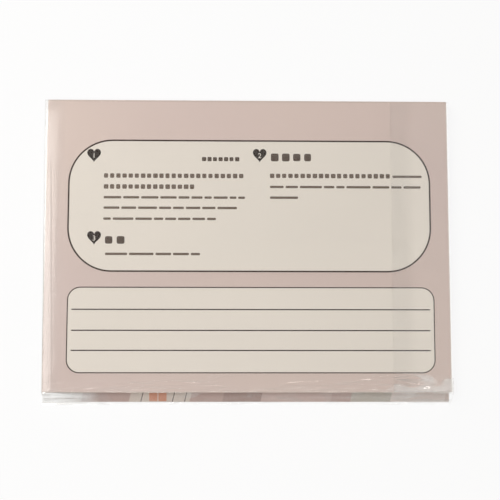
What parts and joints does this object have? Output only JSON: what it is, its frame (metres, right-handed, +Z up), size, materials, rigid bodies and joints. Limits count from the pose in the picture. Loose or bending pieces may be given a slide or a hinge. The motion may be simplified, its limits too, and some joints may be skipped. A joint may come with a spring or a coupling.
{
  "type": "recordable greeting card",
  "caption": "Folded recordable greeting card with a push-button sound module under its liner, in a clear film sleeve with a fold-over flap.",
  "frame": {"origin": "middle of the footprint, on the surface that the card lies on", "axes": "+X along the fold, to the right as the back's print is read; +Y towards the fold; +Z up, the way the printed back faces"},
  "size_m": [0.202, 0.1516, 0.0074],
  "materials": {
    "printed_card": "satin printed card stock",
    "inner_paper": "uncoated cream paper",
    "foam": "white closed-cell foam tape",
    "board_green": "green solder mask",
    "black_resin": "black epoxy",
    "black_plastic": "moulded, matt",
    "white_plastic": "moulded, matt",
    "button_red": "moulded, glossy",
    "tan_ceramic": "ceramic chip",
    "steel": "plated steel",
    "spring_contact": "plated spring strip",
    "solder": "solder",
    "magnet": "nickel-plated magnet",
    "cone_film": "drawn film cone",
    "coil_copper": "enamelled copper wire",
    "black_felt": "felt",
    "tape": "double-sided tape",
    "wire_red": "insulated wire",
    "wire_black": "insulated wire",
    "clear_film": "clear film",
    "clear_glue": "clear glue strip"
  },
  "bodies": {
    "front_leaf": {"front_cover": "printed_card"},
    "fold_spine": {"spine_strip": "printed_card"},
    "button": {"button_cap": "button_red"},
    "plunger": {"switch_plunger": "black_plastic"},
    "sleeve_base": {"sleeve_lower_sheet": "clear_film"},
    "sleeve_edge": {"sleeve_fold_side": "clear_film"},
    "sleeve_top": {"sleeve_upper_sheet": "clear_film", "sleeve_seam_side": "clear_film", "sleeve_end_fold": "clear_film"},
    "flap": {"sleeve_flap": "clear_film", "flap_adhesive": "clear_glue"},
    "back_leaf": {"back_cover": "printed_card", "inner_liner": "inner_paper", "foam_strip_fold_side": "foam", "foam_strip_open_side": "foam", "foam_strip_left": "foam", "foam_strip_right": "foam", "switch_base": "black_plastic", "switch_cover": "steel", "switch_dome": "steel", "switch_pins": "steel", "circuit_board": "board_green", "board_tape": "tape", "sound_chip": "black_resin", "chip_capacitors": "tan_ceramic", "chip_resistors": "black_plastic", "solder_joints": "solder", "microphone_can": "steel", "microphone_felt": "black_felt", "microphone_pins": "solder", "battery_holder": "white_plastic", "holder_tape": "tape", "battery_cell_1": "steel", "battery_cell_2": "steel", "battery_cell_3": "steel", "positive_contact": "spring_contact", "negative_contact": "spring_contact", "cell_link_floor": "spring_contact", "cell_link_face": "spring_contact", "speaker_frame": "steel", "speaker_gasket": "black_felt", "speaker_cone": "cone_film", "voice_coil": "coil_copper", "speaker_yoke": "steel", "speaker_magnet": "magnet", "speaker_pole_plate": "steel", "speaker_terminal": "board_green", "speaker_wire_red": "wire_red", "speaker_wire_black": "wire_black", "battery_wire_red": "wire_red", "battery_wire_black": "wire_black"}
  },
  "joints": [
    {"name": "front_fold", "type": "hinge", "parent": "front_leaf", "child": "fold_spine", "pos_m": [0, 0.0757, 0.00025], "axis": [-1, 0, 0], "range_deg": [0, 90]},
    {"name": "back_fold", "type": "hinge", "parent": "fold_spine", "child": "back_leaf", "pos_m": [0, 0.0757, 0.0071], "axis": [-1, 0, 0], "range_deg": [0, 90]},
    {"name": "button_press", "type": "slide", "parent": "back_leaf", "child": "button", "axis": [0, 0, 1], "range_m": [0, 0.0004], "stiffness_N_per_m": 60, "springref_m": -0.0005},
    {"name": "plunger_travel", "type": "slide", "parent": "back_leaf", "child": "plunger", "axis": [0, 0, 1], "range_m": [0, 0.0004]},
    {"name": "sleeve_slide", "type": "slide", "parent": "front_leaf", "child": "sleeve_base", "axis": [-1, 0, 0], "range_m": [0, 0.233]},
    {"name": "sleeve_edge_slide", "type": "slide", "parent": "fold_spine", "child": "sleeve_edge", "axis": [-1, 0, 0], "range_m": [0, 0.233]},
    {"name": "sleeve_top_slide", "type": "slide", "parent": "back_leaf", "child": "sleeve_top", "axis": [-1, 0, 0], "range_m": [0, 0.233]},
    {"name": "flap_fold", "type": "hinge", "parent": "sleeve_top", "child": "flap", "pos_m": [0.101, 0, 0.00725], "axis": [0, 1, 0], "range_deg": [0, 180]}
  ],
  "couplings": [
    {"joint": "back_fold", "follows": "front_fold", "ratio": 1},
    {"joint": "plunger_travel", "follows": "button_press", "ratio": 1},
    {"joint": "sleeve_edge_slide", "follows": "sleeve_slide", "ratio": 1},
    {"joint": "sleeve_top_slide", "follows": "sleeve_slide", "ratio": 1}
  ]
}
